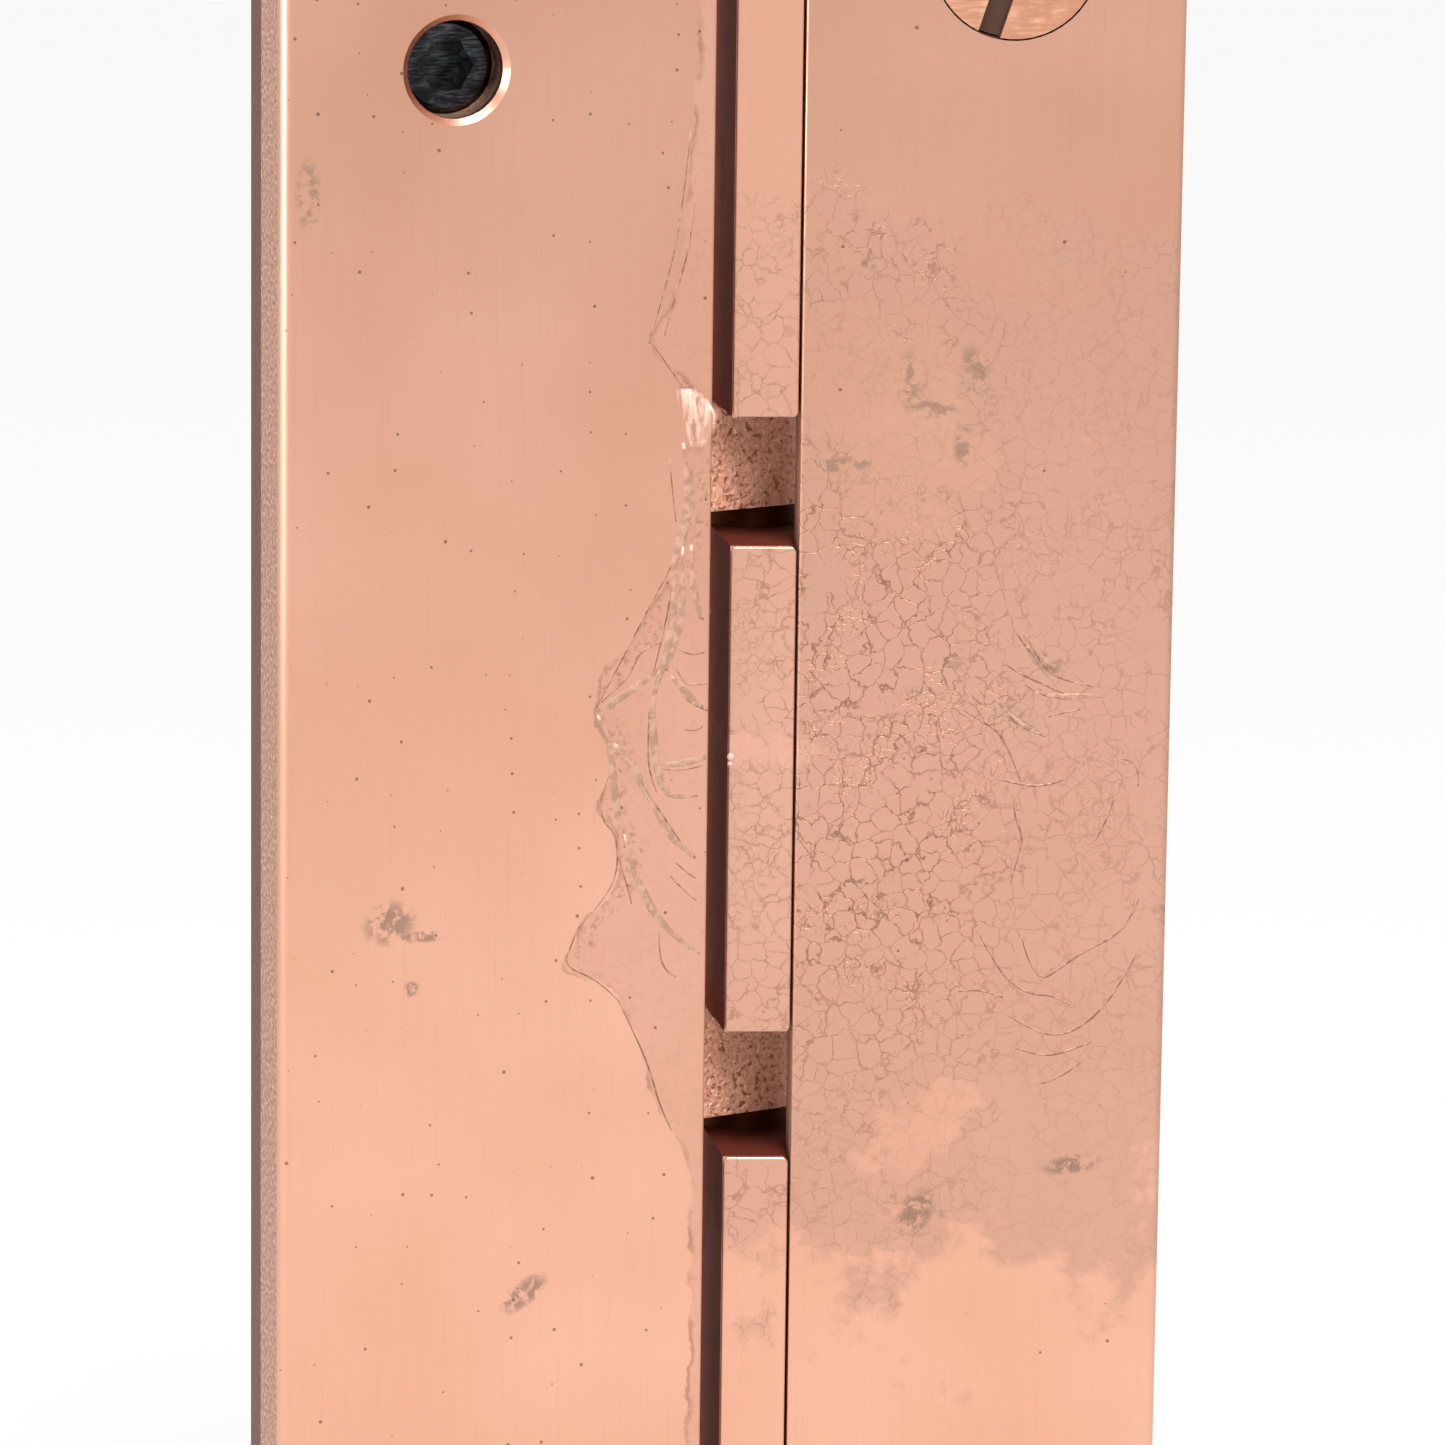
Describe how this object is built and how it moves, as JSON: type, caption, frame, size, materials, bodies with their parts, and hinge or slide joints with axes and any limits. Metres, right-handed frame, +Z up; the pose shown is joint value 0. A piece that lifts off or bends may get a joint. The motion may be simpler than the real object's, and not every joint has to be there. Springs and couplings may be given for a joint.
{
  "type": "door hinge",
  "caption": "Heavy door hinge with brushed copper face plates on cast leaf bodies, long flush knuckle blocks and short set-back knuckles on one pin.",
  "frame": {"origin": "centre of the frame leaf's four tapped fixing holes, on that leaf's back face", "axes": "+Z up along the pin, the brushed faces look along -Y, the door leaf lies towards -X"},
  "size_m": [0.0524, 0.0214, 0.1144],
  "materials": {
    "brushed_copper": "vertically brushed rose copper plating, satin",
    "cast_copper": "as-cast skin, copper plated and darkened",
    "screw_copper": "copper plated, fine brushed",
    "black_oxide": "black oxide with a thin oil film",
    "steel": "ground steel",
    "bearing_brass": "turned bearing bronze",
    "washer_polymer": "black acetal, satin"
  },
  "bodies": {
    "frame_leaf": {"frame_body": "cast_copper", "frame_face_plate": "brushed_copper", "frame_plate_screws": "screw_copper", "frame_plate_dowels": "steel", "hinge_pin": "steel", "pin_lock_screw": "black_oxide", "thrust_washer_top": "washer_polymer", "thrust_washer_upper": "washer_polymer", "thrust_washer_lower": "washer_polymer", "thrust_washer_bottom": "washer_polymer"},
    "door_leaf": {"door_body": "cast_copper", "door_face_plate": "brushed_copper", "door_set_screws": "black_oxide", "door_plate_screws": "steel", "door_plate_dowels": "steel", "door_bush_top": "bearing_brass", "door_bush_upper": "bearing_brass", "door_bush_lower": "bearing_brass", "door_bush_bottom": "bearing_brass", "pin_cap_top": "screw_copper", "pin_cap_bottom": "screw_copper"}
  },
  "joints": [
    {"name": "pin_hinge", "type": "hinge", "parent": "frame_leaf", "child": "door_leaf", "pos_m": [-0.01298, 0.0024, 0], "axis": [0, 0, 1], "range_deg": [-195, 5]}
  ]
}
